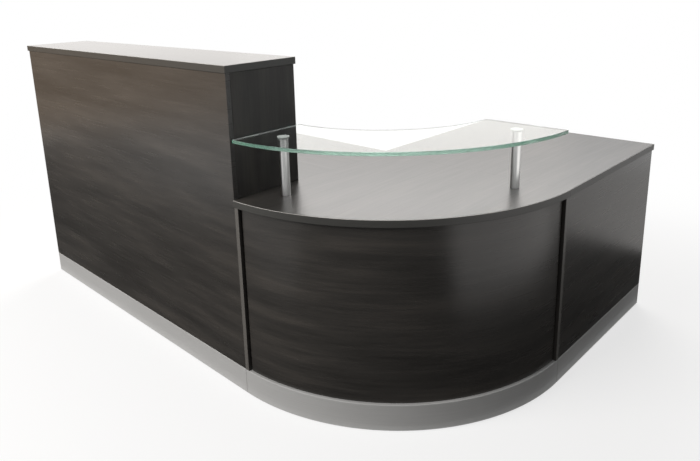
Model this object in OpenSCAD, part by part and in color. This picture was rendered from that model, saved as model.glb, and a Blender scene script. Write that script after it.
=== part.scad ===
// Modular L-shaped reception desk: a tall counter unit, a quarter-round corner unit and a low
// straight unit, with a curved glass shelf on two posts over the corner and a silver plinth.
// In plan the corner's arc is centred on the plan origin. The tall unit runs from there along -X
// and faces -Y. The low unit is built in the same place and mirrored, so it runs along +Y and
// faces +X. The whole plan is then moved so that the part stands on the middle of its outline.

/* [Main sizes] */
// Height of the worktops above the floor
worktop_h = 740; // [680:5:800]
// Height of the tall counter above the floor
counter_h = 1190; // [1100:5:1300]
// Radius of the corner worktop, which is also the depth of the straight worktops
radius = 800; // [720:10:1000]
// Width of the tall unit
tall_w = 1600; // [1200:10:2000]
// Width of the low unit
low_w = 800; // [600:10:1600]

/* [Boards and tops] */
// Thickness of the worktops and of the counter top
top_t = 25; // [18:1:38]
// Thickness of the panels
board_t = 18; // [16:1:25]
// How far the tops stand out past the panels
overhang = 5; // [3:1:20]
// Thickness of the edging strips on the tops
edge_t = 2; // [1:0.5:3]
// Chamfer along the corners of the edging strips
edge_chamfer = 0.8; // [0.3:0.1:0.9]
// Depth of the counter's side panels, with the front panel
hutch_depth = 295; // [220:5:380]
// Depth of the end panels beside the corner, behind the front panel
gable_depth = 450; // [400:10:540]

/* [Plinth] */
// Height of the plinth's top edge above the floor
plinth_h = 100; // [70:5:150]
// Gap between the plinth and the floor
plinth_gap = 3; // [1:0.5:8]

/* [Curved corner] */
// How far the curved panel sits back from the front faces
curve_setback = 10; // [4:1:13]
// Shadow gap between the curved panel and each gable
curve_gap = 6; // [2:1:12]
// Side of the square battens behind the curved panel's ends
batten = 25; // [18:1:40]
// Outer diameter of the leg under the inner corner
leg_d = 60; // [50:2:80]
// Wall of the leg's tube
leg_wall = 2; // [1.5:0.5:4]
// Distance of the leg's middle from both straight edges of the corner worktop
leg_inset = 75; // [70:5:120]
// Diameter of the leg's top flange
flange_d = 120; // [90:5:130]
// Thickness of the leg's top flange
flange_t = 5; // [3:1:8]

/* [Glass shelf] */
// Thickness of the glass
glass_t = 12; // [8:1:15]
// Width of the glass from its front curve to its rear curve
glass_w = 305; // [220:5:400]
// How far the glass's front curve stays behind the worktop's edge
glass_setback = 12; // [0:1:40]
// Height of the glass above the worktop
glass_lift = 195; // [120:5:280]
// Gap between the glass and the counter's side panel
glass_side_gap = 2; // [1:0.5:5]
// How far before the corner's end the glass stops
glass_end_gap = 20; // [10:5:60]
// Ground chamfer along the curved edges of the glass
glass_chamfer = 1; // [0.5:0.5:2]
// Diameter of the posts
post_d = 32; // [25:1:50]
// Distance of each post from the end plane of the corner
post_inset = 92; // [84:2:160]
// Distance of each post's middle from the worktop's curved edge
post_edge = 150; // [100:5:200]
// Diameter of the flared discs bonded under the glass
disc_d = 42; // [34:1:60]
// Height of the discs
disc_t = 8; // [5:0.5:15]
// Thickness of the discs' upright rim, above the flare
disc_rim_t = 2; // [1:0.5:4]
// Diameter of the bolts and studs in the posts
post_bolt_d = 8; // [6:1:10]
// Depth of the bolts and studs in the posts
post_bolt_in = 20; // [12:1:30]
// Width of the bolts' heads across their corners
bolt_head_d = 15; // [12:0.5:18]
// Thickness of the bolts' heads
bolt_head_t = 5.5; // [4:0.5:8]
// Diameter of the washers under the worktop
washer_d = 24; // [20:1:32]
// Thickness of the washers under the worktop
washer_t = 2; // [1:0.5:3]

/* [Levelling feet] */
// Gap between the floor and the end panels
foot_clear = 12; // [11:0.5:20]
// Diameter of a foot's pad
pad_d = 26; // [22:1:40]
// Thickness of a foot's pad
pad_t = 7; // [5:0.5:8]
// Diameter of a foot's stem
stem_d = 8; // [6:1:8]
// How far a foot screws out
foot_travel = 12; // [6:1:20]
// Length of the insert that holds a stem
insert_l = 20; // [14:1:26]
// Distance of the feet from the ends of a panel
foot_end = 60; // [40:5:100]

/* [Fittings] */
// Diameter of the cam locks
cam_d = 15; // [12:0.5:16]
// Depth of a cam lock in its panel
cam_depth = 12.5; // [11:0.5:14]
// Distance of a cam lock from the panel's front edge
cam_setback = 34; // [24:1:45]
// Distance of a cam lock from the ends of its joint
cam_end = 90; // [60:5:120]
// Diameter of the cam bolts
cam_bolt_d = 7; // [5:0.5:8]
// Depth of a cam bolt in the front panel
cam_bolt_in = 10; // [7:0.5:12]
// Outer diameter of the sleeves that join the units
sleeve_d = 8; // [7.5:0.5:10]
// Diameter of the screws in the sleeves
sleeve_screw_d = 5; // [4:0.5:5.5]
// Diameter of the heads of sleeves and screws
joiner_head_d = 16; // [13:1:20]
// Thickness of the heads of sleeves and screws
joiner_head_t = 2.5; // [1.5:0.5:4]
// Distance of the joining screws from the ends of the gable
joiner_end = 90; // [80:5:110]
// Length of each leg of an angle bracket
bracket_leg = 30; // [20:1:40]
// Length of an angle bracket along its panel
bracket_l = 40; // [25:1:60]
// Distance of the brackets from the ends of a panel
bracket_end = 150; // [120:5:170]
// Thickness of the brackets and joining plates
steel_t = 3; // [2:0.5:4]
// Length of a joining plate across the seam
plate_l = 150; // [100:5:200]
// Width of a joining plate
plate_w = 40; // [30:1:50]
// Diameter of the screw holes in the brackets, the plates and the leg's flange
screw_hole_d = 4.5; // [3.5:0.5:6]
// Distance of a bracket's screw holes from its ends
bracket_hole_end = 10; // [6:1:14]
// Distance of a plate's screw holes from its edges
plate_hole_edge = 11; // [6:1:13]

/* [Cable port] */
// Diameter of the cable port's hole
port_d = 80; // [60:5:100]
// Distance of the port's middle from the seam of the worktops
port_from_seam = 250; // [180:10:400]
// Distance of the port's middle behind the counter's side panels
port_behind = 75; // [65:5:120]
// Wall of the port's liner
port_wall = 2; // [1.5:0.5:3]
// Width of the liner's flange on the worktop
port_flange = 5; // [3:1:10]
// Depth of the ledge that carries the port's cap
port_seat = 9; // [6:1:11]
// Width of that ledge
port_ledge = 4; // [3:0.5:6]
// Width of the cap's cable notch
notch_w = 22; // [14:1:26]
// Length of the cap's cable notch from its rim
notch_l = 16; // [12:1:20]

/* [Hidden] */
$fn = 96;
// Facets of a full turn of the desk's large curves
curve_fn = 360;
eps = 0.5;
// Glue line between an edging strip and its board
glue = 0.1;
// Radial play of a fastener in its hole
play = 0.15;
// Radial clearance of a foot's stem in its insert
run_fit = 0.05;
// Clearance of the cable port's cap in its liner
cap_clear = 0.3;
// Clearance between the curved panel and its battens
curve_clear = 0.3;
// Clearance between the gables and the curved plinth behind their noses
plinth_clear = 0.6;

// Planes of the straight units, measured from the plan origin
face = radius - overhang;
back = face - board_t;
top_under = worktop_h - top_t;
counter_under = counter_h - top_t;
gable_rear = -back + gable_depth;
hutch_rear = -face + hutch_depth;
curve_r = face - curve_setback;
curve_rear_r = curve_r - board_t;
glass_front_r = radius - glass_setback;
glass_rear_r = glass_front_r - glass_w;
glass_z = worktop_h + glass_lift;

// Middles of the upright panels across the tall unit
inner_x = -board_t / 2;
divider_x = -tall_w / 2;
function outer_x(w) = board_t / 2 - w;

// Places of the feet along the panels
outer_foot_ys = [foot_end - back, -overhang - foot_end];
inner_foot_ys = [foot_end - back, gable_rear - foot_end];
gable_foot_y = gable_rear - gable_depth / 2;
insert_wall = 1.5;
insert_lip = 1.5;
insert_r = stem_d / 2 + insert_wall;
thread_spare = 3;
bore_spare = 2;
stem_l = foot_clear - pad_t + insert_l + foot_travel + thread_spare;
stem_top = pad_t + stem_l;
pad_round = 1;
pad_slope = 2;

// Places of the fittings
joiner_ys = [joiner_end - back, gable_rear - joiner_end];
joiner_zs = [plinth_h + joiner_end, top_under - joiner_end];
joiner_reach = 0.75;
sleeve_end = 3;
gable_bracket_ys = [bracket_end - back, gable_rear - bracket_end];
outer_bracket_ys = [bracket_end - back, -overhang - bracket_end];
counter_bracket_y = (hutch_rear - back) / 2;
plate_gap = 15;
plate_ys = [for (i = [0, 1]) gable_rear + (plate_gap + plate_w) * (i + 1) - plate_w / 2];
bracket_hole_side = (bracket_leg + steel_t) / 2;
flange_holes = 4;
flange_hole_r = (flange_d + leg_d) / 4;
slot_l = 10;
slot_w = 1.5;
slot_depth = 2;

// A cam is given as the middle of its panel, the side of the panel's inner face, and its height
function cams_at(x, side, z_low, z_high) = [for (z = [z_low + cam_end, z_high - cam_end]) [x, side, z]];
function low_cams(x, side) = cams_at(x, side, plinth_h, top_under);
function counter_cams(x, side) = cams_at(x, side, worktop_h, counter_under);
function unit_cams(w) = concat(low_cams(outer_x(w), 1), low_cams(inner_x, -1));
divider_cams = counter_cams(divider_x, 1);
side_cams = concat(counter_cams(outer_x(tall_w), 1), counter_cams(inner_x, -1));
tall_cams = concat(unit_cams(tall_w), side_cams, divider_cams);
low_unit_cams = unit_cams(low_w);

// Posts under the glass, the same distance from each end of the corner
post_r = radius - post_edge;
post_place = [post_inset, -sqrt(post_r * post_r - post_inset * post_inset)];
post_top = glass_z - disc_t;
bolt_spare = 3;

// Cable port in the tall unit's worktop
port_place = [-port_from_seam, hutch_rear + port_behind];
liner_out_r = port_d / 2 - play;
liner_in_r = liner_out_r - port_wall;
ledge_r = liner_in_r - port_ledge;
port_lip = 2;
ledge_t = 2;
cap_r = liner_in_r - cap_clear;
cap_skirt = 2.5;
cap_top_t = 3;

laminate = [0.27, 0.25, 0.23];
laminate_side = [0.22, 0.21, 0.20];
edging_colour = [0.33, 0.31, 0.29];
plinth_colour = [0.66, 0.67, 0.67];
glass_colour = [0.66, 0.85, 0.78, 0.45];
chrome_colour = [0.82, 0.83, 0.84];
zinc_colour = [0.62, 0.63, 0.64];
plastic_colour = [0.12, 0.12, 0.12];

// Moves the plan so that the part's outline is centred on the origin
module plan() {
    translate([(tall_w + overhang - radius) / 2, (radius - low_w - overhang) / 2, 0]) children();
}

// Turns what is built at the tall unit's place into the low unit's, across the corner's diagonal
module across() {
    mirror([1, 1, 0]) children();
}

// Repeats what is built at the left of the corner at its right as well
module both_sides() {
    children();
    across() children();
}

// Sweeps a profile round the corner's quarter turn
module quarter_turn() {
    rotate([0, 0, -90]) rotate_extrude(angle = 90, $fn = curve_fn) children();
}

// Extrudes a profile of [y, z] points along X
module along_x(length) {
    rotate([90, 0, 90]) linear_extrude(height = length) children();
}

// Board whose outer corners are chamfered like its edging
function soft_profile(low, high) = [
    [low + edge_chamfer, 0], [high - edge_chamfer, 0], [high, edge_chamfer],
    [high, top_t - edge_chamfer], [high - edge_chamfer, top_t], [low + edge_chamfer, top_t],
    [low, top_t - edge_chamfer], [low, edge_chamfer]
];

module soft_slab(low, high) {
    intersection() {
        translate([0, high.y, 0]) rotate([90, 0, 0])
            linear_extrude(height = high.y - low.y) polygon(soft_profile(low.x, high.x));
        translate([low.x, 0, 0]) along_x(high.x - low.x) polygon(soft_profile(low.y, high.y));
    }
}

module block(low, high, z, height) {
    translate([low.x, low.y, z]) cube([high.x - low.x, high.y - low.y, height]);
}

// A straight top is given by its low and high corners and, for each, by 1 where that side has
// no edging because it meets another piece, and 0 where it has
tall_top = [[-tall_w - overhang, -back], [0, 0], [0, 1], [1, 0]];
low_top = [[-low_w - overhang, -radius], [0, 0], [0, 0], [1, 0]];
counter_plan = [[-tall_w - overhang, -radius], [overhang, hutch_rear + overhang], [0, 0], [0, 0]];

module top_board(top) {
    inset = edge_t + glue;
    block(top[0] + inset * ([1, 1] - top[2]), top[1] - inset * ([1, 1] - top[3]), 0, top_t);
}

// On a side with no edging, the slab runs past the board and the cut runs past the slab
function slab_past(bare) = edge_t * bare;
function cut_in(bare) = [for (b = bare) b == 1 ? -2 * edge_t : edge_t];

module top_edging(top) {
    intersection() {
        block(top[0], top[1], 0, top_t);
        difference() {
            soft_slab(top[0] - slab_past(top[2]), top[1] + slab_past(top[3]));
            block(top[0] + cut_in(top[2]), top[1] - cut_in(top[3]), -eps, top_t + 2 * eps);
        }
    }
}

// Cam joint between an upright panel and the back of a front panel
module at_cam(c) {
    translate([c[0] + c[1] * board_t / 2, cam_setback - back, c[2]]) rotate([0, -90 * c[1], 0]) children();
}

module cam_cuts(cams) {
    for (c = cams) {
        at_cam(c) translate([0, 0, -eps]) cylinder(d = cam_d + 2 * play, h = cam_depth + eps);
        translate([c[0], -back - eps, c[2]]) rotate([-90, 0, 0])
            cylinder(d = cam_bolt_d + 2 * play, h = cam_setback + eps);
    }
}

module cam_bolt_holes(cams) {
    for (c = cams) {
        translate([c[0], eps - back, c[2]]) rotate([90, 0, 0])
            cylinder(d = cam_bolt_d + 2 * play, h = cam_bolt_in + play + eps);
    }
}

module cam_lock_set(cams) {
    for (c = cams) {
        at_cam(c) difference() {
            cylinder(d = cam_d, h = cam_depth - play);
            for (turn = [0, 90]) {
                rotate([0, 0, turn]) translate([-slot_l / 2, -slot_w / 2, -eps])
                    cube([slot_l, slot_w, slot_depth + eps]);
            }
        }
    }
}

module cam_bolt_set(cams) {
    for (c = cams) {
        translate([c[0], -back - cam_bolt_in, c[2]]) rotate([-90, 0, 0])
            cylinder(d = cam_bolt_d, h = cam_bolt_in + cam_setback - cam_d / 2 - 2 * play);
    }
}

// Bore in a panel's lower edge for a foot's insert and stem
module foot_bore(x, y) {
    translate([x, y, foot_clear - eps]) cylinder(r = insert_r + play, h = insert_l + eps + play);
    translate([x, y, foot_clear]) cylinder(r = stem_d / 2 + eps, h = stem_top + bore_spare - foot_clear);
}

module foot_insert(x, y) {
    bore_r = stem_d / 2 + run_fit;
    translate([x, y, foot_clear]) rotate_extrude() polygon([
        [bore_r, -insert_lip], [insert_r + insert_lip, -insert_lip], [insert_r + insert_lip, 0],
        [insert_r, 0], [insert_r, insert_l], [bore_r, insert_l]
    ]);
}

module leg_insert() {
    bore_r = stem_d / 2 + run_fit;
    plug_r = leg_d / 2 - leg_wall - play;
    translate([leg_inset, -leg_inset, foot_clear]) rotate_extrude() polygon([
        [bore_r, -insert_lip], [leg_d / 2, -insert_lip], [leg_d / 2, 0],
        [plug_r, 0], [plug_r, insert_l], [bore_r, insert_l]
    ]);
}

module levelling_foot(x, y) {
    pad_r = pad_d / 2;
    stem_r = stem_d / 2;
    translate([x, y, 0]) rotate_extrude() polygon([
        [0, 0], [pad_r - pad_round, 0], [pad_r, pad_round], [pad_r, pad_t - pad_slope],
        [stem_r + pad_slope, pad_t], [stem_r, pad_t], [stem_r, stem_top - pad_round],
        [stem_r - pad_round, stem_top], [0, stem_top]
    ]);
}

// Holes for the screws and sleeves that join the units
module joiner_holes() {
    for (y = joiner_ys, z = joiner_zs) {
        translate([-board_t - eps, y, z]) rotate([0, 90, 0])
            cylinder(d = sleeve_d + 2 * play, h = 2 * (board_t + eps));
    }
}

// Boards of a straight unit of width w
module front_board(w, top_z, cams) {
    difference() {
        block([-w, -face], [0, -back], plinth_h, top_z - plinth_h);
        cam_bolt_holes(cams);
    }
}

module plinth_board(w) {
    block([-w, -face], [0, -back], plinth_gap, plinth_h - plinth_gap);
}

module outer_panel(w) {
    difference() {
        block([-w, -back], [board_t - w, -overhang], foot_clear, top_under - foot_clear);
        cam_cuts(low_cams(outer_x(w), 1));
        for (y = outer_foot_ys) foot_bore(outer_x(w), y);
    }
}

module inner_panel() {
    difference() {
        block([-board_t, -back], [0, gable_rear], foot_clear, top_under - foot_clear);
        cam_cuts(low_cams(inner_x, -1));
        for (y = inner_foot_ys) foot_bore(inner_x, y);
        joiner_holes();
    }
}

module counter_panel(x, cams) {
    difference() {
        block([x - board_t / 2, -back], [x + board_t / 2, hutch_rear], worktop_h, counter_under - worktop_h);
        cam_cuts(cams);
    }
}

// Gable of the corner unit: its nose stands over the plinth and shows as a strip at the front
module gable() {
    difference() {
        along_x(board_t) polygon([
            [-face, plinth_h], [-face, top_under], [gable_rear, top_under], [gable_rear, foot_clear],
            [plinth_clear - back, foot_clear], [plinth_clear - back, plinth_h]
        ]);
        foot_bore(board_t / 2, gable_foot_y);
        joiner_holes();
    }
}

// Angle of steel under a top, with two screw holes in each leg
module angle_bracket(x, side, y, z) {
    hole_y = bracket_l / 2 - bracket_hole_end;
    translate([x, y, z]) difference() {
        rotate([90, 0, 0]) linear_extrude(height = bracket_l, center = true) polygon([
            [0, 0], [side * bracket_leg, 0], [side * bracket_leg, -steel_t], [side * steel_t, -steel_t],
            [side * steel_t, -bracket_leg], [0, -bracket_leg]
        ]);
        for (end = [-1, 1]) {
            translate([side * bracket_hole_side, end * hole_y, -steel_t - eps])
                cylinder(d = screw_hole_d, h = steel_t + 2 * eps);
            translate([-side * eps, end * hole_y, -bracket_hole_side]) rotate([0, side * 90, 0])
                cylinder(d = screw_hole_d, h = steel_t + 2 * eps);
        }
    }
}

// Flat plate under the seam of two worktops, with a screw hole at each corner
module joining_plate(y) {
    hole = [plate_l / 2 - plate_hole_edge, plate_w / 2 - plate_hole_edge];
    translate([0, y, top_under - steel_t]) difference() {
        translate([-plate_l / 2, -plate_w / 2, 0]) cube([plate_l, plate_w, steel_t]);
        for (i = [-1, 1], j = [-1, 1]) {
            translate([i * hole.x, j * hole.y, -eps]) cylinder(d = screw_hole_d, h = steel_t + 2 * eps);
        }
    }
}

module unit_brackets(w) {
    for (y = outer_bracket_ys) angle_bracket(board_t - w, 1, y, top_under);
    for (y = gable_bracket_ys) {
        angle_bracket(-board_t, -1, y, top_under);
        angle_bracket(board_t, 1, y, top_under);
    }
}

module at_post() {
    translate([post_place.x, post_place.y, 0]) children();
}

module post() {
    bore_d = post_bolt_d + 2 * play;
    at_post() difference() {
        translate([0, 0, worktop_h]) cylinder(d = post_d, h = post_top - worktop_h);
        translate([0, 0, worktop_h - eps]) cylinder(d = bore_d, h = post_bolt_in + bolt_spare + eps);
        translate([0, 0, post_top - post_bolt_in - bolt_spare])
            cylinder(d = bore_d, h = post_bolt_in + bolt_spare + eps);
    }
}

// Tall unit
module tall_front_panel() {
    color(laminate) plan() front_board(tall_w, counter_under, tall_cams);
}

module tall_end_panel_left() {
    color(laminate_side) plan() outer_panel(tall_w);
}

module tall_end_panel_right() {
    color(laminate_side) plan() inner_panel();
}

module tall_worktop() {
    color(laminate) plan() difference() {
        translate([0, 0, top_under]) top_board(tall_top);
        translate([port_place.x, port_place.y, top_under - eps]) cylinder(d = port_d, h = top_t + 2 * eps);
    }
}

module tall_worktop_edging() {
    color(edging_colour) plan() translate([0, 0, top_under]) top_edging(tall_top);
}

module tall_plinth() {
    color(plinth_colour) plan() plinth_board(tall_w);
}

module counter_side_left() {
    color(laminate_side) plan() counter_panel(outer_x(tall_w), counter_cams(outer_x(tall_w), 1));
}

module counter_side_right() {
    color(laminate_side) plan() counter_panel(inner_x, counter_cams(inner_x, -1));
}

module counter_divider() {
    color(laminate_side) plan() counter_panel(divider_x, divider_cams);
}

module counter_top() {
    color(laminate) plan() translate([0, 0, counter_under]) top_board(counter_plan);
}

module counter_top_edging() {
    color(edging_colour) plan() translate([0, 0, counter_under]) top_edging(counter_plan);
}

// Corner unit
module corner_gable_left() {
    color(laminate_side) plan() gable();
}

module corner_gable_right() {
    color(laminate_side) plan() across() gable();
}

module corner_curved_panel() {
    inset = board_t + curve_gap;
    color(laminate) plan() intersection() {
        quarter_turn() translate([curve_rear_r, plinth_h]) square([board_t, top_under - plinth_h]);
        block([inset, -radius], [radius, -inset], 0, worktop_h);
    }
}

module corner_battens() {
    color(laminate_side) plan() both_sides() intersection() {
        block([board_t, -radius], [board_t + batten, batten - curve_rear_r], plinth_h, top_under - plinth_h);
        translate([0, 0, plinth_h])
            cylinder(r = curve_rear_r - curve_clear, h = top_under - plinth_h, $fn = curve_fn);
    }
}

module corner_worktop() {
    color(laminate) plan() difference() {
        quarter_turn() translate([0, top_under]) square([radius - edge_t - glue, top_t]);
        both_sides() at_post() translate([0, 0, top_under - eps])
            cylinder(d = post_bolt_d + 2 * play, h = top_t + 2 * eps);
    }
}

module corner_worktop_edging() {
    rim = radius - edge_t;
    color(edging_colour) plan() quarter_turn() translate([0, top_under]) polygon([
        [rim, 0], [radius - edge_chamfer, 0], [radius, edge_chamfer],
        [radius, top_t - edge_chamfer], [radius - edge_chamfer, top_t], [rim, top_t]
    ]);
}

module corner_plinth() {
    color(plinth_colour) plan() quarter_turn()
        translate([back, plinth_gap]) square([board_t, plinth_h - plinth_gap]);
}

module corner_leg() {
    color(chrome_colour) plan() translate([leg_inset, -leg_inset, foot_clear]) difference() {
        cylinder(d = leg_d, h = top_under - flange_t - foot_clear);
        translate([0, 0, -eps]) cylinder(d = leg_d - 2 * leg_wall, h = top_under - foot_clear);
    }
}

module corner_leg_flange() {
    color(chrome_colour) plan() translate([leg_inset, -leg_inset, top_under - flange_t]) difference() {
        cylinder(d = flange_d, h = flange_t);
        for (i = [0 : flange_holes - 1]) {
            rotate([0, 0, 360 * i / flange_holes]) translate([flange_hole_r, 0, -eps])
                cylinder(d = screw_hole_d, h = flange_t + 2 * eps);
        }
    }
}

// Low unit
module low_front_panel() {
    color(laminate) plan() across() front_board(low_w, top_under, low_unit_cams);
}

module low_end_panel_left() {
    color(laminate_side) plan() across() inner_panel();
}

module low_end_panel_right() {
    color(laminate_side) plan() across() outer_panel(low_w);
}

module low_worktop() {
    color(laminate) plan() across() translate([0, 0, top_under]) top_board(low_top);
}

module low_worktop_edging() {
    color(edging_colour) plan() across() translate([0, 0, top_under]) top_edging(low_top);
}

module low_plinth() {
    color(plinth_colour) plan() across() plinth_board(low_w);
}

// Glass shelf and its posts
module glass_shelf() {
    c = glass_chamfer;
    color(glass_colour) plan() intersection() {
        quarter_turn() translate([0, glass_z]) polygon([
            [glass_rear_r + c, 0], [glass_front_r - c, 0],
            [glass_front_r, c], [glass_front_r, glass_t - c],
            [glass_front_r - c, glass_t], [glass_rear_r + c, glass_t],
            [glass_rear_r, glass_t - c], [glass_rear_r, c]
        ]);
        block([glass_side_gap, -radius - eps], [radius + eps, -glass_end_gap], glass_z - eps, glass_t + 2 * eps);
    }
}

module post_left() {
    color(chrome_colour) plan() post();
}

module post_right() {
    color(chrome_colour) plan() across() post();
}

module post_discs() {
    color(chrome_colour) plan() both_sides() at_post() {
        translate([0, 0, post_top]) cylinder(d1 = post_d, d2 = disc_d, h = disc_t - disc_rim_t);
        translate([0, 0, glass_z - disc_rim_t]) cylinder(d = disc_d, h = disc_rim_t);
        translate([0, 0, post_top - post_bolt_in]) cylinder(d = post_bolt_d, h = post_bolt_in + eps);
    }
}

module post_bolts() {
    head_z = top_under - washer_t - bolt_head_t;
    color(zinc_colour) plan() both_sides() at_post() {
        translate([0, 0, head_z]) cylinder(d = bolt_head_d, h = bolt_head_t, $fn = 6);
        translate([0, 0, head_z]) cylinder(d = post_bolt_d, h = worktop_h + post_bolt_in - head_z);
    }
}

module post_washers() {
    color(zinc_colour) plan() both_sides() at_post() translate([0, 0, top_under - washer_t]) difference() {
        cylinder(d = washer_d, h = washer_t);
        translate([0, 0, -eps]) cylinder(d = post_bolt_d + 2 * play, h = washer_t + 2 * eps);
    }
}

// Fittings
module joining_sleeves() {
    head_r = joiner_head_d / 2;
    bore_r = sleeve_screw_d / 2 + play;
    reach = 2 * board_t * joiner_reach;
    color(zinc_colour) plan() both_sides() for (y = joiner_ys, z = joiner_zs) {
        translate([-board_t, y, z]) rotate([0, 90, 0]) rotate_extrude() polygon([
            [0, -joiner_head_t], [head_r, -joiner_head_t], [head_r, 0], [sleeve_d / 2, 0],
            [sleeve_d / 2, reach], [bore_r, reach], [bore_r, sleeve_end], [0, sleeve_end]
        ]);
    }
}

module joining_screws() {
    head_r = joiner_head_d / 2;
    shank_r = sleeve_screw_d / 2;
    reach = 2 * board_t * joiner_reach;
    color(zinc_colour) plan() both_sides() for (y = joiner_ys, z = joiner_zs) {
        translate([board_t, y, z]) rotate([0, -90, 0]) rotate_extrude() polygon([
            [0, -joiner_head_t], [head_r, -joiner_head_t], [head_r, 0], [shank_r, 0],
            [shank_r, reach], [0, reach]
        ]);
    }
}

module cam_locks() {
    color(zinc_colour) plan() {
        cam_lock_set(tall_cams);
        across() cam_lock_set(low_unit_cams);
    }
}

module cam_bolts() {
    color(zinc_colour) plan() {
        cam_bolt_set(tall_cams);
        across() cam_bolt_set(low_unit_cams);
    }
}

module angle_brackets() {
    color(zinc_colour) plan() {
        unit_brackets(tall_w);
        across() unit_brackets(low_w);
        angle_bracket(board_t - tall_w, 1, counter_bracket_y, counter_under);
        angle_bracket(divider_x + board_t / 2, 1, counter_bracket_y, counter_under);
        angle_bracket(-board_t, -1, counter_bracket_y, counter_under);
    }
}

module joining_plates() {
    color(zinc_colour) plan() both_sides() for (y = plate_ys) joining_plate(y);
}

// Cable port in the tall unit's worktop
module cable_port_liner() {
    color(plastic_colour) plan() translate([port_place.x, port_place.y, worktop_h]) rotate_extrude() polygon([
        [liner_out_r, port_lip - top_t], [liner_out_r, 0], [port_d / 2 + port_flange, 0],
        [port_d / 2 + port_flange, port_lip], [liner_in_r, port_lip], [liner_in_r, -port_seat],
        [ledge_r, -port_seat], [ledge_r, -port_seat - ledge_t], [liner_in_r, -port_seat - ledge_t],
        [liner_in_r, port_lip - top_t]
    ]);
}

module cable_port_cap() {
    skirt_z = cap_clear - port_seat;
    color(plastic_colour) plan() translate([port_place.x, port_place.y, worktop_h]) difference() {
        rotate_extrude() polygon([
            [0, port_lip], [cap_r, port_lip], [cap_r, skirt_z], [cap_r - cap_skirt, skirt_z],
            [cap_r - cap_skirt, port_lip - cap_top_t], [0, port_lip - cap_top_t]
        ]);
        translate([-notch_w / 2, cap_r - notch_l, skirt_z - eps])
            cube([notch_w, notch_l + eps, port_lip - skirt_z + 2 * eps]);
    }
}

// Levelling feet and the inserts that hold them
module foot_inserts() {
    color(zinc_colour) plan() {
        for (y = outer_foot_ys) {
            foot_insert(outer_x(tall_w), y);
            across() foot_insert(outer_x(low_w), y);
        }
        both_sides() {
            for (y = inner_foot_ys) foot_insert(inner_x, y);
            foot_insert(board_t / 2, gable_foot_y);
        }
        leg_insert();
    }
}

module foot_tall_left_front() {
    color(plastic_colour) plan() levelling_foot(outer_x(tall_w), outer_foot_ys[0]);
}

module foot_tall_left_rear() {
    color(plastic_colour) plan() levelling_foot(outer_x(tall_w), outer_foot_ys[1]);
}

module foot_tall_right_front() {
    color(plastic_colour) plan() levelling_foot(inner_x, inner_foot_ys[0]);
}

module foot_tall_right_rear() {
    color(plastic_colour) plan() levelling_foot(inner_x, inner_foot_ys[1]);
}

module foot_gable_left() {
    color(plastic_colour) plan() levelling_foot(board_t / 2, gable_foot_y);
}

module foot_gable_right() {
    color(plastic_colour) plan() across() levelling_foot(board_t / 2, gable_foot_y);
}

module foot_leg() {
    color(plastic_colour) plan() levelling_foot(leg_inset, -leg_inset);
}

module foot_low_left_front() {
    color(plastic_colour) plan() across() levelling_foot(inner_x, inner_foot_ys[0]);
}

module foot_low_left_rear() {
    color(plastic_colour) plan() across() levelling_foot(inner_x, inner_foot_ys[1]);
}

module foot_low_right_front() {
    color(plastic_colour) plan() across() levelling_foot(outer_x(low_w), outer_foot_ys[0]);
}

module foot_low_right_rear() {
    color(plastic_colour) plan() across() levelling_foot(outer_x(low_w), outer_foot_ys[1]);
}

tall_front_panel();
tall_end_panel_left();
tall_end_panel_right();
tall_worktop();
tall_worktop_edging();
tall_plinth();
counter_side_left();
counter_side_right();
counter_divider();
counter_top();
counter_top_edging();
corner_gable_left();
corner_gable_right();
corner_curved_panel();
corner_battens();
corner_worktop();
corner_worktop_edging();
corner_plinth();
corner_leg();
corner_leg_flange();
low_front_panel();
low_end_panel_left();
low_end_panel_right();
low_worktop();
low_worktop_edging();
low_plinth();
glass_shelf();
post_left();
post_right();
post_discs();
post_bolts();
post_washers();
joining_sleeves();
joining_screws();
cam_locks();
cam_bolts();
angle_brackets();
joining_plates();
foot_inserts();
cable_port_liner();
cable_port_cap();
foot_tall_left_front();
foot_tall_left_rear();
foot_tall_right_front();
foot_tall_right_rear();
foot_gable_left();
foot_gable_right();
foot_leg();
foot_low_left_front();
foot_low_left_rear();
foot_low_right_front();
foot_low_right_rear();
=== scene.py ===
# %% [markdown]
# # A modular reception desk
# The desk is three units joined side by side: a tall counter, a quarter-round corner and a low
# straight wing. All three are laminated board, and a curved glass shelf stands on two posts over
# the corner. The engineering model holds every piece at its real size, so this lesson loads it,
# finishes each surface and lights the desk.

# %% Load the desk
import math

import bmesh
import bpy
from mathutils import Matrix, Vector


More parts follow.
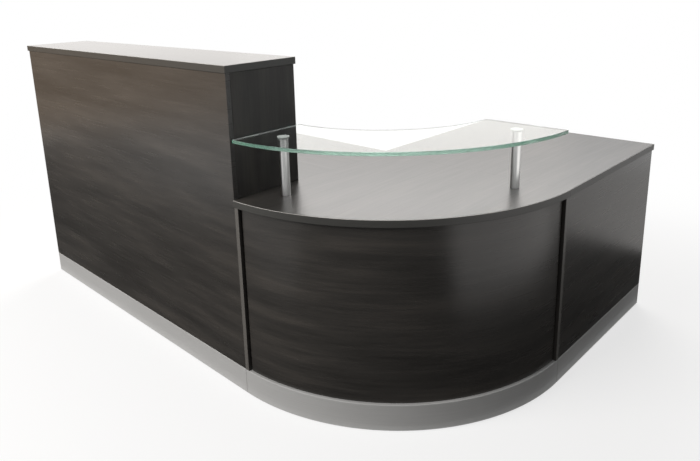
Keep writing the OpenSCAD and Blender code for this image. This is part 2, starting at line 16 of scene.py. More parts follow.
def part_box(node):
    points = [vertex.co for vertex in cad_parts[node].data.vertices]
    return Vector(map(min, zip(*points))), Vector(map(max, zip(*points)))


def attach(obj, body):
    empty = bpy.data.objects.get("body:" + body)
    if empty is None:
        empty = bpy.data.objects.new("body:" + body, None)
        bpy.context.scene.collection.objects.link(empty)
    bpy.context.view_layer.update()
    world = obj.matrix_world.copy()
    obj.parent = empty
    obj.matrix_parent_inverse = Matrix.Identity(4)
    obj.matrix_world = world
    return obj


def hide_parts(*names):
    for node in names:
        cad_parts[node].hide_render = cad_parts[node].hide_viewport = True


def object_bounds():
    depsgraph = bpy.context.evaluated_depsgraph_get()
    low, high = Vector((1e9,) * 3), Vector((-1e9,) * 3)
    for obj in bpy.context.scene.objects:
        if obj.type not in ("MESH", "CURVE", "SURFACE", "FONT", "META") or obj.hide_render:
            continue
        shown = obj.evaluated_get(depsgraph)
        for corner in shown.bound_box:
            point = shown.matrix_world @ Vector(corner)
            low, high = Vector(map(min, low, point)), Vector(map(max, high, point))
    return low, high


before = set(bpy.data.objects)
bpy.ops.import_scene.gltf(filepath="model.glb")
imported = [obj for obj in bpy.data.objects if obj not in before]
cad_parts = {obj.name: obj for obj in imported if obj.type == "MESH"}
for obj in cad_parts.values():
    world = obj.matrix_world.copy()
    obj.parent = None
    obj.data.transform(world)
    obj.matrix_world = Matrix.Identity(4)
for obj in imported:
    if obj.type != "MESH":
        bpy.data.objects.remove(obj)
cad_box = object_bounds()
MM = 0.001
print("desk from", [round(x, 3) for x in cad_box[0]], "to", [round(x, 3) for x in cad_box[1]])

# %% [markdown]
# Nearly everything on the corner is drawn from one point, the middle of its quarter circle. That
# point could be typed in, but then a change of size would leave the glass behind. The worktop's
# edging runs the whole arc, so its box gives the point, the radius, and the heights of the
# worktop's two faces.

# %% Find the middle of the arc
edging_low, edging_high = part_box("corner_worktop_edging")
ARC = Vector((edging_low.x, edging_high.y, 0))
ARC_R = edging_high.x - edging_low.x
print("arc round", [round(x, 4) for x in ARC], "radius", round(ARC_R, 4))
print("worktop from", round(edging_low.z, 4), "to", round(edging_high.z, 4))

# %% [markdown]
# The desk is seen from standing height, off its rounded corner, so that both wings run away from
# the eye. The camera could be aimed by a tracking constraint, but placing it from the arc's middle
# and turning it by three angles repeats a measured view exactly. The middle of the lens lies above
# the middle of the frame, as it does when a picture is trimmed, and a small shift of the sensor
# repeats that without tilting the upright edges.

# %% Set up the camera
FRAME_W, FRAME_H = 700, 461
LENS_MIDDLE_PX = (330, 150)
FOCAL_PX = 633.0
CAMERA_FROM_ARC = Vector((1.6512, -1.9926, 1.4168))
HEADING, PITCH, ROLL = (math.radians(a) for a in (134.840, -14.312, -1.767))
QUARTER = math.pi / 2

camera_data = bpy.data.cameras.new("camera")
camera_data.lens = FOCAL_PX / FRAME_W * camera_data.sensor_width
camera_data.shift_x = (FRAME_W / 2 - LENS_MIDDLE_PX[0]) / FRAME_W
camera_data.shift_y = (LENS_MIDDLE_PX[1] - FRAME_H / 2) / FRAME_W
camera = bpy.data.objects.new("camera", camera_data)
bpy.context.scene.collection.objects.link(camera)
turn = Matrix.Rotation(HEADING - QUARTER, 4, "Z") @ Matrix.Rotation(QUARTER + PITCH, 4, "X")
turn = turn @ Matrix.Rotation(ROLL, 4, "Z")
camera.matrix_world = Matrix.Translation(ARC + CAMERA_FROM_ARC) @ turn
bpy.context.scene.camera = camera
bpy.context.scene.view_settings.view_transform = "Standard"
print("lens", round(camera_data.lens, 2), "mm, eye height", round(CAMERA_FROM_ARC.z, 3), "m")

# %% [markdown]
# A material or a world is a tree of shader nodes. Wiring every node by hand would hide the idea of
# a finish in small print, so one helper adds a node and fills its inputs: a value is set on the
# socket, and another node's output is linked to it. Every finish below is built with it.

# %% Helpers for shader nodes
def shade(tree, kind, inputs=None, **settings):
    """Adds a shader node and returns it. An input is a value or the output socket that feeds it."""
    made = tree.nodes.new("ShaderNode" + kind)
    for key, value in settings.items():
        setattr(made, key, value)
    for key, value in (inputs or {}).items():
        if isinstance(value, bpy.types.NodeSocket):
            tree.links.new(value, made.inputs[key])
        else:
            made.inputs[key].default_value = value
    return made


def calc(tree, operation, *values):
    """A Math node's result."""
    return shade(tree, "Math", dict(enumerate(values)), operation=operation).outputs[0]


def new_tree(name):
    """A material with only its output node, and its tree."""
    material = bpy.data.materials.new(name)
    material.use_nodes = True
    material.node_tree.nodes.clear()
    return material, material.node_tree, shade(material.node_tree, "OutputMaterial")


def seen_directly(tree):
    """1 for a ray that shows the surroundings themselves: to the eye, in a gloss or through glass."""
    path = shade(tree, "LightPath").outputs
    mirrored = calc(tree, "MAXIMUM", path["Is Glossy Ray"], path["Is Transmission Ray"])
    return calc(tree, "MAXIMUM", path["Is Camera Ray"], mirrored)


print("helpers:", ", ".join(f.__name__ for f in (shade, calc, new_tree, seen_directly)))

# %% [markdown]
# The room is a white studio. Its walls could be modelled, but a world of one colour does the same.
# It is white wherever it is seen, in the picture, in a gloss or through the glass. It gives the
# desk less light than that, so that the softboxes can shape it.

# %% A white room
AMBIENT = 0.23
WHITE = (1, 1, 1, 1)

world = bpy.data.worlds.new("studio")
bpy.context.scene.world = world
world.use_nodes = True
tree = world.node_tree
tree.nodes.clear()
backdrop = shade(tree, "Background", {"Color": WHITE, "Strength": 1})
room_light = shade(tree, "Background", {"Color": WHITE, "Strength": AMBIENT})
room = shade(tree, "MixShader", {0: seen_directly(tree), 1: room_light.outputs[0],
                                 2: backdrop.outputs[0]})
shade(tree, "OutputWorld", {"Surface": room.outputs[0]})
print("white room that gives", AMBIENT, "of its white as light")

# %% [markdown]
# Softboxes are large soft lamps. The one in front of the long panel is the main light, and one at
# the back lights the side where people sit. Both are kept out of the gloss and the glass, where
# their outlines would show. High behind the desk, a bright one makes the satin worktop shine, and
# a wide dim one lifts the counter and the glass. Area lamps fit best, because their size sets how
# soft the shadows are.

# %% Hang the softboxes
PALE_WARM = (1, 0.975, 0.95)
AMBER = (1, 0.88, 0.77)


def softbox(name, place, aim, size, brightness, tint=PALE_WARM, mirrored=True):
    """A rectangular lamp. Its face is as bright as the number says, where white paper is 1."""
    lamp = bpy.data.lights.new(name, "AREA")
    lamp.shape = "RECTANGLE"
    lamp.size, lamp.size_y = size
    lamp.energy = brightness * math.pi * size[0] * size[1]
    lamp.color = tint
    box = bpy.data.objects.new(name, lamp)
    box.visible_camera = False
    box.visible_glossy = mirrored
    box.visible_transmission = mirrored
    bpy.context.scene.collection.objects.link(box)
    box.location = place
    box.rotation_euler = (Vector(aim) - Vector(place)).to_track_quat("-Z", "Y").to_euler()
    print(name, "gives", round(lamp.energy), "W")


softbox("front_softbox", (-1.2, -4.9, 3.3), (-0.6, -0.8, 0.4), (3.6, 2.0), 13.0, mirrored=False)
softbox("back_softbox", (-2.4, 4.6, 1.5), (-0.2, 0.0, 0.5), (3.6, 2.2), 5.0, mirrored=False)
softbox("rear_softbox", (-1.2, 2.8, 2.85), (0.8, -0.4, 0.74), (4.2, 1.4), 4.3)
softbox("wide_softbox", (-2.9, 2.5, 1.85), (0.2, -0.4, 1.85), (6.0, 1.5), 0.32, AMBER)

# %% [markdown]
# The floor is pale and shows the desk's shadow. A plain white surface would turn grey away from the
# lamps, so seven tenths of this floor's brightness is its own and the rest is the light that falls
# on it. The shadow stays soft, and away from the desk the floor fades to the white of the backdrop.
# Its underside is clear, so that the desk can be looked at from below.

# %% The floor's finish
FADE_START, FADE_END = 1.5, 3.0
FLOOR_LIT = 0.3

floor_material, tree, output = new_tree("studio_floor")
place = shade(tree, "TexCoord").outputs["Object"]
distance = shade(tree, "VectorMath", {0: place}, operation="LENGTH").outputs["Value"]
fade = shade(tree, "MapRange", {"Value": distance, "From Min": FADE_START, "From Max": FADE_END},
             interpolation_type="SMOOTHSTEP").outputs[0]
lit = shade(tree, "BsdfDiffuse", {"Color": (FLOOR_LIT, FLOOR_LIT, FLOOR_LIT, 1)})
own = shade(tree, "Emission", {"Color": WHITE, "Strength": 1 - FLOOR_LIT})
white = shade(tree, "Emission", {"Color": WHITE, "Strength": 1})
near = shade(tree, "AddShader", {0: lit.outputs[0], 1: own.outputs[0]})
looks = shade(tree, "MixShader", {0: fade, 1: near.outputs[0], 2: white.outputs[0]})
upper = shade(tree, "MixShader", {0: seen_directly(tree), 1: lit.outputs[0], 2: looks.outputs[0]})
below = shade(tree, "NewGeometry").outputs["Backfacing"]
clear = shade(tree, "BsdfTransparent")
both = shade(tree, "MixShader", {0: below, 1: upper.outputs[0], 2: clear.outputs[0]})
tree.links.new(both.outputs[0], output.inputs["Surface"])
print("floor fades to white between", FADE_START, "and", FADE_END, "m")

# %% [markdown]
# The floor itself is one round face, so that its edge is equally far on every side. It lies a hair
# below the feet, because two faces in one plane would flicker.

# %% Lay the floor
FLOOR_R, FLOOR_SIDES = 30, 96
FLOOR_DROP = 0.2 * MM

bm = bmesh.new()
bmesh.ops.create_circle(bm, cap_ends=True, segments=FLOOR_SIDES, radius=FLOOR_R)
bmesh.ops.translate(bm, verts=bm.verts, vec=(0, 0, -FLOOR_DROP))
floor_mesh = bpy.data.meshes.new("floor")
bm.to_mesh(floor_mesh)
bm.free()
floor_mesh.materials.append(floor_material)
floor = bpy.data.objects.new("floor", floor_mesh)
bpy.context.scene.collection.objects.link(floor)
print("floor of radius", FLOOR_R, "m")

# %% [markdown]
# A glossy panel shows what stands round it, so a photographer sets cloths and screens there, just
# outside the picture. Here they are thin sheets that show in the gloss and nowhere else: they throw
# no shadow, and the eye and the glass look past them. Those on the floor could be squares, but they
# follow the corner better as fans, each spun from one straight edge round the arc's middle.

# %% Helpers for sheets that a gloss shows
SPIN_STEPS = 24


def fan(bm, inner, outer, start, end):
    """A flat fan round the arc's middle, between two angles from +X. Returns its first and last edges."""
    way = Vector((math.cos(start), math.sin(start), 0))
    ends = [bm.verts.new(ARC + r * way + Vector((0, 0, FLOOR_DROP))) for r in (inner, outer)]
    first = bm.edges.new(ends)
    spun = bmesh.ops.spin(bm, geom=ends + [first], cent=ARC, axis=(0, 0, 1), angle=end - start,
                          steps=SPIN_STEPS)
    return [first], [e for e in spun["geom_last"] if isinstance(e, bmesh.types.BMEdge)]


def seen_in_gloss(name, bm, material):
    """Stands a cloth or a screen in the studio that only a gloss shows."""
    mesh = bpy.data.meshes.new(name)
    bm.to_mesh(mesh)
    bm.free()
    mesh.materials.append(material)
    sheet = bpy.data.objects.new(name, mesh)
    bpy.context.scene.collection.objects.link(sheet)
    sheet.visible_camera = False
    sheet.visible_diffuse = False
    sheet.visible_shadow = False
    sheet.visible_transmission = False
    print(name, "has", len(mesh.polygons), "faces")


print("each fan is spun in", SPIN_STEPS, "steps")

# %% [markdown]
# On a white floor the dark panels turn grey, because at a low angle they mirror it. A darker print
# would hide that, but it would be wrong everywhere else. A black cloth round the foot cures it, as
# in a studio, because the lower part of each panel then mirrors the cloth. It is a fan round the
# corner with a straight run along each wing. The fan is deep where the corner faces the eye, and
# shallow towards the low wing.

# %% Lay a black cloth round the foot
CLOTH_FROM, CLOTH_SHALLOW, CLOTH_DEEP = ARC_R + 0.02, ARC_R + 0.85, ARC_R + 3.2
CLOTH_PAST_LEFT, CLOTH_PAST_REAR = 3.2, 0.6
CLOTH_FLARE = 0.9
CLOTH_BLACK = (0.06, 0.06, 0.06, 1)
DEEP_END = math.radians(-22)

cloth_material, tree, output = new_tree("black_cloth")
cloth_shader = shade(tree, "BsdfDiffuse", {"Color": CLOTH_BLACK})
tree.links.new(cloth_shader.outputs[0], output.inputs["Surface"])

bm = bmesh.new()
first, last = fan(bm, CLOTH_FROM, CLOTH_SHALLOW, -QUARTER, 0)
tall_run = ARC.x - cad_box[0].x + CLOTH_PAST_LEFT
low_run = cad_box[1].y - ARC.y + CLOTH_PAST_REAR
for edges, way in ((first, (-tall_run, 0, 0)), (last, (0, low_run, 0))):
    grown = bmesh.ops.extrude_edge_only(bm, edges=edges)["geom"]
    bmesh.ops.translate(bm, verts=[v for v in grown if isinstance(v, bmesh.types.BMVert)], vec=way)
far_corner = min(bm.verts, key=lambda v: v.co.x + v.co.y)
far_corner.co.y -= CLOTH_FLARE
fan(bm, CLOTH_SHALLOW, CLOTH_DEEP, -QUARTER, DEEP_END)
seen_in_gloss("black_cloth", bm, cloth_material)

# %% [markdown]
# Past the shallow part of the cloth lies a pale sheet, which gives the corner panel its one soft
# shine. Grey sheets on both sides of these dim what the panels' ends mirror. They could be lamps,
# but a lamp only adds to what a gloss shows and never covers the white room, so they are fans that
# shine by themselves.

# %% Lay three sheets past the cloth
SHEET_FROM, SHEET_TO = ARC_R + 0.9, ARC_R + 2.7
PALE_SHEET_END, PALE_SHEET_GLOW = math.radians(34), 1.5
GREY_SHEET_START, GREY_SHEET_GLOW = math.radians(-128), 0.55
FAR_SHEET_END, FAR_SHEET_GLOW = math.radians(85), 0.7

for name, start, end, glow in (("pale_sheet", DEEP_END, PALE_SHEET_END, PALE_SHEET_GLOW),
                               ("grey_sheet", GREY_SHEET_START, -QUARTER, GREY_SHEET_GLOW),
                               ("far_sheet", PALE_SHEET_END, FAR_SHEET_END, FAR_SHEET_GLOW)):
    sheet_material, tree, output = new_tree(name)
    sheet_light = shade(tree, "Emission", {"Color": (*PALE_WARM, 1), "Strength": glow})
    tree.links.new(sheet_light.outputs[0], output.inputs["Surface"])
    bm = bmesh.new()
    fan(bm, SHEET_FROM, SHEET_TO, start, end)
    bmesh.ops.translate(bm, verts=bm.verts, vec=(0, 0, -FLOOR_DROP / 2))
    seen_in_gloss(name, bm, sheet_material)

# %% [markdown]
# The long panel is seen at a slant, so its upper half mirrors what stands to its left. In a white
# room that would bleach the brown print. A curved screen of warm light stands there, spun from one
# upright edge. It is dim at its far end, which the panel mirrors at the lowest slant and so most
# strongly.

# %% Stand a warm screen beside the long panel
SCREEN_MIDDLE = Vector((-0.4, -0.8, 0))
SCREEN_R, SCREEN_H = 4.6, 2.4
SCREEN_FROM, SCREEN_ANGLE = math.radians(-180), math.radians(52)
SCREEN_WARM = (1, 0.74, 0.52, 1)
SCREEN_DIM, SCREEN_BRIGHT = 0.45, 1.1
DIM_Y, BRIGHT_Y = -2.2, -3.6

screen_material, tree, output = new_tree("warm_screen")
place = shade(tree, "SeparateXYZ", {0: shade(tree, "TexCoord").outputs["Object"]}).outputs["Y"]
glow = shade(tree, "MapRange", {"Value": place, "From Min": DIM_Y, "From Max": BRIGHT_Y,
                                "To Min": SCREEN_DIM, "To Max": SCREEN_BRIGHT}).outputs[0]
screen_light = shade(tree, "Emission", {"Color": SCREEN_WARM, "Strength": glow})
tree.links.new(screen_light.outputs[0], output.inputs["Surface"])

bm = bmesh.new()
away = SCREEN_R * Vector((math.cos(SCREEN_FROM), math.sin(SCREEN_FROM), 0))
ends = [bm.verts.new(SCREEN_MIDDLE + away + Vector((0, 0, z))) for z in (0, SCREEN_H)]
upright = bm.edges.new(ends)
bmesh.ops.spin(bm, geom=ends + [upright], cent=SCREEN_MIDDLE, axis=(0, 0, 1), angle=SCREEN_ANGLE,
               steps=SPIN_STEPS)
seen_in_gloss("warm_screen", bm, screen_material)

# %% [markdown]
# The boards carry a printed wood grain. A print could be drawn as an image, but noise that is
# stretched along the grain gives the same look on a board of any size. Each kind of mark has two
# counts per metre, one along the grain and one across it: a slow sway that bends the rest, broad
# bands of figure, fine streaks, and pores like short scratches.

# %% Noise along the grain
MARKS = {"sway": (0.9, 3.5), "figure": (1.7, 15), "streaks": (5, 120), "pores": (30, 800)}


def along_grain(tree, coordinates, grain, along, across):
    """Coordinates squeezed so that a noise makes marks 1/along metres long and 1/across metres wide."""
    scale = [along if axis in grain else across for axis in "XYZ"]
    return shade(tree, "Mapping", {"Vector": coordinates, "Scale": scale}).outputs[0]


def noise(tree, coordinates, detail, roughness=0.55):
    """A noise node at the scale that its coordinates already have."""
    return shade(tree, "TexNoise", {"Vector": coordinates, "Scale": 1, "Detail": detail,
                                    "Roughness": roughness})


for mark, (along, across) in MARKS.items():
    print(mark, "about", round(1 / along, 2), "m long and", round(1000 / across, 1), "mm wide")

# %% [markdown]
# In real wood, figure, streaks and pores follow the same bends. Three separate noises would not, so a
# slow sway first bends the coordinates across the grain, and all three are drawn on the bent ones.

# %% Bend the marks together
GRAIN_SWAY = 0.03
NOISE_MIDDLE = (0.5, 0.5, 0.5)
DETAIL = {"figure": 4, "streaks": 4, "pores": 2}


def grain_marks(tree, grain):
    """The noises of figure, streaks and pores, bent by one slow sway."""
    place = shade(tree, "TexCoord").outputs["Object"]
    slow = noise(tree, along_grain(tree, place, grain, *MARKS["sway"]), detail=2).outputs["Color"]
    slow = shade(tree, "VectorMath", {0: slow, 1: NOISE_MIDDLE}, operation="SUBTRACT").outputs[0]
    sway = [0 if axis in grain else GRAIN_SWAY for axis in "XYZ"]
    bent = shade(tree, "VectorMath", {0: slow, 1: sway, 2: place}, operation="MULTIPLY_ADD").outputs[0]
    return [noise(tree, along_grain(tree, bent, grain, *MARKS[mark]), detail).outputs[0]
            for mark, detail in DETAIL.items()]


print("the grain sways by up to", round(GRAIN_SWAY / 2 / MM), "mm")

# %% [markdown]
# The print is dark brown to black, under a satin resin film. Figure, streaks and pores are added by
# their shares, and a colour ramp turns the sum into three browns. The film is pressed on a textured
# plate, so the streaks also vary its gloss, and streaks and pores dent it a little. The same function
# makes every board, because only the direction of the grain and the shine of the film differ.

# %% The woodgrain laminate
FIGURE_SHARE, STREAK_SHARE, PORE_SHARE = 0.62, 0.27, 0.11
GRAIN_DARK = (0.022, 0.0205, 0.0188, 1)
GRAIN_MID = (0.035, 0.0325, 0.0298, 1)
GRAIN_PALE = (0.056, 0.0505, 0.045, 1)
DARK_AT, MID_AT, PALE_AT = 0.36, 0.5, 0.66
DULLER, SHINIER = 1.1, 0.9
PORE_DENT, STREAK_DENT = 0.7, 0.3
FILM_BUMP, GRAIN_DEPTH = 0.03, 0.2 * MM


def laminate(name, grain, roughness, specular):
    """Printed laminate. grain names the axes that the marks run along."""
    material, tree, output = new_tree(name)
    figure, streaks, pores = grain_marks(tree, grain)
    tone = calc(tree, "MULTIPLY", figure, FIGURE_SHARE)
    tone = calc(tree, "MULTIPLY_ADD", streaks, STREAK_SHARE, tone)
    tone = calc(tree, "MULTIPLY_ADD", pores, PORE_SHARE, tone)
    ramp = shade(tree, "ValToRGB", {"Fac": tone})
    stops = ramp.color_ramp.elements
    stops[0].position, stops[0].color = DARK_AT, GRAIN_DARK
    stops[1].position, stops[1].color = PALE_AT, GRAIN_PALE
    stops.new(MID_AT).color = GRAIN_MID
    rough = shade(tree, "MapRange", {"Value": streaks, "To Min": roughness * DULLER,
                                     "To Max": roughness * SHINIER}).outputs[0]
    dent = calc(tree, "MULTIPLY", streaks, STREAK_DENT)
    dent = calc(tree, "MULTIPLY_ADD", pores, PORE_DENT, dent)
    bump = shade(tree, "Bump", {"Height": dent, "Strength": FILM_BUMP, "Distance": GRAIN_DEPTH}).outputs[0]
    film = shade(tree, "BsdfPrincipled", {"Base Color": ramp.outputs[0], "Roughness": rough,
                                          "Normal": bump, "Specular IOR Level": specular})
    tree.links.new(film.outputs[0], output.inputs["Surface"])
    print(name, "has its grain along", grain)
    return material


front_laminate = laminate("laminate_level_grain", "XY", roughness=0.28, specular=0.46)
upright_laminate = laminate("laminate_upright_grain", "Z", roughness=0.36, specular=0.3)
long_top_laminate = laminate("laminate_top_along_x", "X", roughness=0.32, specular=0.5)
counter_laminate = laminate("laminate_counter_top", "X", roughness=0.15, specular=0.5)
wing_top_laminate = laminate("laminate_top_along_y", "Y", roughness=0.32, specular=0.5)

# %% [markdown]
# The cut edges are covered: with a thick dark plastic strip round the tops and a thin paler one on
# the gables' noses. The plinth boards have a brushed silver foil. All of these are plain along their
# length and finely lined, so one function makes them: noise squeezed across the strip, which tints
# the colour and varies the gloss. On the strip round a top, the faces of the chamfer that slant upward
# get a pale painted highlight, a lighter colour that stands in for the light they catch. The normal tells
# where they are.

# %% Edging strip and plinth foil
LINE_MARKS, CLOUD_MARKS = (5, 700), (2, 8)
LINE_SHARE, CLOUD_SHARE = 0.7, 0.3
LINE_DARK_AT, LINE_PALE_AT = 0.3, 0.7
LINE_SPREAD, LINE_BUMP = 0.06, 0.08
SLANT_FROM, SLANT_TO = 0.3, 0.93
# pale colour painted on the upward slants of the arris: a painted highlight
ARRIS_PAINTED_HIGHLIGHT = (0.62, 0.60, 0.57, 1)


def lined_finish(name, grain, dark, pale, roughness, metal, painted_highlight=False):
    """A strip or foil with fine lines along it, between two colours, and a painted highlight if asked."""
    material, tree, output = new_tree(name)
    place = shade(tree, "TexCoord").outputs["Object"]
    lines = noise(tree, along_grain(tree, place, grain, *LINE_MARKS), detail=4, roughness=0.6).outputs[0]
    clouds = noise(tree, along_grain(tree, place, grain, *CLOUD_MARKS), detail=2).outputs[0]
    tone = calc(tree, "MULTIPLY", lines, LINE_SHARE)
    tone = calc(tree, "MULTIPLY_ADD", clouds, CLOUD_SHARE, tone)
    ramp = shade(tree, "ValToRGB", {"Fac": tone})
    stops = ramp.color_ramp.elements
    stops[0].position, stops[0].color = LINE_DARK_AT, (*dark, 1)
    stops[1].position, stops[1].color = LINE_PALE_AT, (*pale, 1)
    rough = shade(tree, "MapRange", {"Value": lines, "To Min": roughness - LINE_SPREAD,
                                     "To Max": roughness + LINE_SPREAD}).outputs[0]
    bump = shade(tree, "Bump", {"Height": lines, "Strength": LINE_BUMP, "Distance": GRAIN_DEPTH}).outputs[0]
    colour = ramp.outputs[0]
    # painted highlight: faces that slant upward get the pale colour in place of the lined one
    if painted_highlight:
        facing = shade(tree, "SeparateXYZ", {0: shade(tree, "TexCoord").outputs["Normal"]}).outputs["Z"]
        highlight_mask = calc(tree, "MULTIPLY", calc(tree, "GREATER_THAN", facing, SLANT_FROM),
                     calc(tree, "LESS_THAN", facing, SLANT_TO))
        colour = shade(tree, "Mix", {"Factor": highlight_mask, "A": colour, "B": ARRIS_PAINTED_HIGHLIGHT},
                       data_type="RGBA").outputs[2]
    strip = shade(tree, "BsdfPrincipled", {"Base Color": colour, "Roughness": rough, "Normal": bump,
                                           "Metallic": metal})
    tree.links.new(strip.outputs[0], output.inputs["Surface"])
    print(name, "is lined along", grain)
    return material


# only the strips round the tops get the painted highlight on their arris
top_edging = lined_finish("edging_round_tops", "XY", dark=(0.030, 0.030, 0.0275),
                          pale=(0.050, 0.049, 0.045), roughness=0.45, metal=0, painted_highlight=True)
gable_edging = lined_finish("edging_on_gables", "Z", dark=(0.080, 0.075, 0.069),
                            pale=(0.126, 0.119, 0.110), roughness=0.4, metal=0)
silver_foil = lined_finish("silver_plinth_foil", "XY", dark=(0.41, 0.41, 0.405),
                           pale=(0.485, 0.485, 0.48), roughness=0.45, metal=0.1)

# %% [markdown]
# The shelf is clear float glass. Seen through its face it is almost colourless, and seen along its
# width it is green, because the light has then come through 300 mm of it. A green colour on the
# surface would tint both alike, so an absorbing volume inside the glass gives the green. Its rim is
# ground, which blurs and dims what shows there: the rim is where the surface doesn't face up or
# down. A shadow ray takes a short cut through the glass as through a clear film, so that the
# worktop below stays well lit.

# %% Float glass
GLASS_IOR = 1.5
GLASS_GREEN, GLASS_DENSITY = (0.2, 0.76, 0.56, 1), 2.3
GLASS_SHADE = (0.9, 0.95, 0.93, 1)
RIPPLE_SCALE, RIPPLE_BUMP = 6, 0.01
GROUND_RIM = 0.9
RIM_TINT = (0.38, 0.40, 0.385, 1)
RIM_FROST = 0.25
GLASS_BOUNCES = 24

glass_material, tree, output = new_tree("float_glass")
place = shade(tree, "TexCoord").outputs["Object"]
ripple = shade(tree, "TexNoise", {"Vector": place, "Scale": RIPPLE_SCALE, "Detail": 1})
ripple = shade(tree, "Bump", {"Height": ripple.outputs[0], "Strength": RIPPLE_BUMP, "Distance": MM})
facing = shade(tree, "SeparateXYZ", {0: shade(tree, "TexCoord").outputs["Normal"]}).outputs["Z"]
rim = calc(tree, "LESS_THAN", calc(tree, "ABSOLUTE", facing), GROUND_RIM)
tint = shade(tree, "Mix", {"Factor": rim, "A": WHITE, "B": RIM_TINT}, data_type="RGBA")
frost = calc(tree, "MULTIPLY", rim, RIM_FROST)
clear_glass = shade(tree, "BsdfPrincipled", {"Base Color": tint.outputs[2], "Roughness": frost,
                                             "IOR": GLASS_IOR, "Transmission Weight": 1.0,
                                             "Normal": ripple.outputs[0]})
shadow = shade(tree, "BsdfTransparent", {"Color": GLASS_SHADE})
is_shadow = shade(tree, "LightPath").outputs["Is Shadow Ray"]
surface = shade(tree, "MixShader", {0: is_shadow, 1: clear_glass.outputs[0], 2: shadow.outputs[0]})
inside = shade(tree, "VolumeAbsorption", {"Color": GLASS_GREEN, "Density": GLASS_DENSITY})
tree.links.new(surface.outputs[0], output.inputs["Surface"])
tree.links.new(inside.outputs[0], output.inputs["Volume"])
bpy.context.scene.cycles.max_bounces = GLASS_BOUNCES
bpy.context.scene.cycles.glossy_bounces = GLASS_BOUNCES
bpy.context.scene.cycles.transmission_bounces = GLASS_BOUNCES
print("glass with", GLASS_BOUNCES, "bounces, so that its rim doesn't turn black")

# %% [markdown]
# The posts and the leg are steel tube with a satin chrome finish, and the discs and the flange are
# castings painted silver. The hidden fittings are zinc-plated, and the feet and the cable port are
# moulded plastic. Plating, paint and moulding are even, so a flat colour comes close, but their
# gloss is not even: the chrome has hair lines up the tube, the zinc a cloudy spangle, the casting
# and the plastic a fine grain. One function varies the gloss with a noise of the right scale.

# %% Metals and plastic
SMOOTHER, ROUGHER = 0.7, 1.3
TINT_DARK, TINT_PALE = 0.88, 1.1
PLATE_DEPTH = 0.1 * MM


def plated(name, colour, roughness, marks, bump, metal):
    """An even finish whose gloss and surface vary with a noise of the given scale."""
    material, tree, output = new_tree(name)
    place = shade(tree, "TexCoord").outputs["Object"]
    marks = shade(tree, "Mapping", {"Vector": place, "Scale": marks}).outputs[0]
    grain = noise(tree, marks, detail=3).outputs[0]
    rough = shade(tree, "MapRange", {"Value": grain, "To Min": roughness * SMOOTHER,
                                     "To Max": roughness * ROUGHER}).outputs[0]
    tint = shade(tree, "ValToRGB", {"Fac": grain})
    tint.color_ramp.elements[0].color = (*[c * TINT_DARK for c in colour], 1)
    tint.color_ramp.elements[1].color = (*[min(1, c * TINT_PALE) for c in colour], 1)
    dents = shade(tree, "Bump", {"Height": grain, "Strength": bump, "Distance": PLATE_DEPTH}).outputs[0]
    coat = shade(tree, "BsdfPrincipled", {"Base Color": tint.outputs[0], "Roughness": rough,
                                          "Normal": dents, "Metallic": metal})
    tree.links.new(coat.outputs[0], output.inputs["Surface"])
    print(name, "has a roughness near", roughness)
    return material


satin_chrome = plated("satin_chrome_plate", (0.74, 0.74, 0.73), roughness=0.32, marks=(900, 900, 8),
                      bump=0.05, metal=1)
silver_cast = plated("silver_cast_metal", (0.80, 0.80, 0.79), roughness=0.3, marks=(400, 400, 400),
                     bump=0.05, metal=0.2)
zinc_steel = plated("zinc_plate", (0.50, 0.51, 0.52), roughness=0.38, marks=(90, 90, 90),
                    bump=0.05, metal=1)
black_plastic = plated("black_moulding", (0.018, 0.018, 0.019), roughness=0.45, marks=(1500, 1500, 1500),
                       bump=0.15, metal=0)

# %% [markdown]
# A mesh becomes a piece of the desk when it has a finish and moves with a body of the model. Every
# mesh made below passes through one function, so none lacks either of them. Faces are shaded smooth,
# and only edges that turn by more than a small angle stay sharp, which keeps flat boards flat and
# lets round tubes look round.

# %% A piece from a mesh
SMOOTH = math.radians(12)


def keep_piece(name, bm, material, body="desk", nodes=(), smooth=SMOOTH):
    """Turns a bmesh into a piece that rides a body and stands for the CAD nodes named."""
    for face in bm.faces:
        face.smooth = True
    for edge in bm.edges:
        edge.smooth = edge.is_manifold and edge.calc_face_angle() < smooth
    mesh = bpy.data.meshes.new(name)
    bm.to_mesh(mesh)
    bm.free()
    mesh.materials.append(material)
    piece = bpy.data.objects.new(name, mesh)
    bpy.context.scene.collection.objects.link(piece)
    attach(piece, body)
    if nodes:
        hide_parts(*nodes)
    print(name, "has", len(mesh.polygons), "faces")
    return piece


print("edges under", round(math.degrees(SMOOTH)), "degrees are shaded smooth")

# %% [markdown]
# A real board has no edge as sharp as a drawn one: laminate is filed and edging is scraped, and the
# small round catches the light. A bevel shader would only fake it, and the mesh itself would stay
# sharp. So each board is copied from the engineering model, its triangles are merged into whole faces,
# and its long edges are beveled. Only long edges are taken, so drilled holes stay as they were.

# %% Round the edges of the boards
WELD = 0.001 * MM
FLAT = math.radians(0.1)
LONG_EDGE, SHARP_EDGE = 20 * MM, 60
PANEL_ROUND, TOP_ROUND, PLINTH_ROUND = 1.5 * MM, 0.15 * MM, 2.5 * MM


def whole_faces(node):
    """A bmesh of a CAD node with its triangles merged into flat faces."""
    bm = bmesh.new()
    bm.from_mesh(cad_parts[node].data)
    bmesh.ops.remove_doubles(bm, verts=bm.verts, dist=WELD)
    bmesh.ops.dissolve_limit(bm, angle_limit=FLAT, verts=bm.verts, edges=bm.edges)
    return bm


def rounded(node, material, round_r, shortest=LONG_EDGE, bluntest=SHARP_EDGE, body="desk"):
    """A copy of a CAD node with its edges rounded, down to a length and an angle in degrees."""
    bm = whole_faces(node)
    sharp = [e for e in bm.edges if e.is_manifold and e.calc_length() > shortest
             and e.calc_face_angle() > math.radians(bluntest)]
    bmesh.ops.bevel(bm, geom=sharp, offset=round_r, offset_type="OFFSET", segments=2, profile=0.5,
                    affect="EDGES", clamp_overlap=True, material=-1)
    return keep_piece(node + "_finished", bm, material, body, [node])


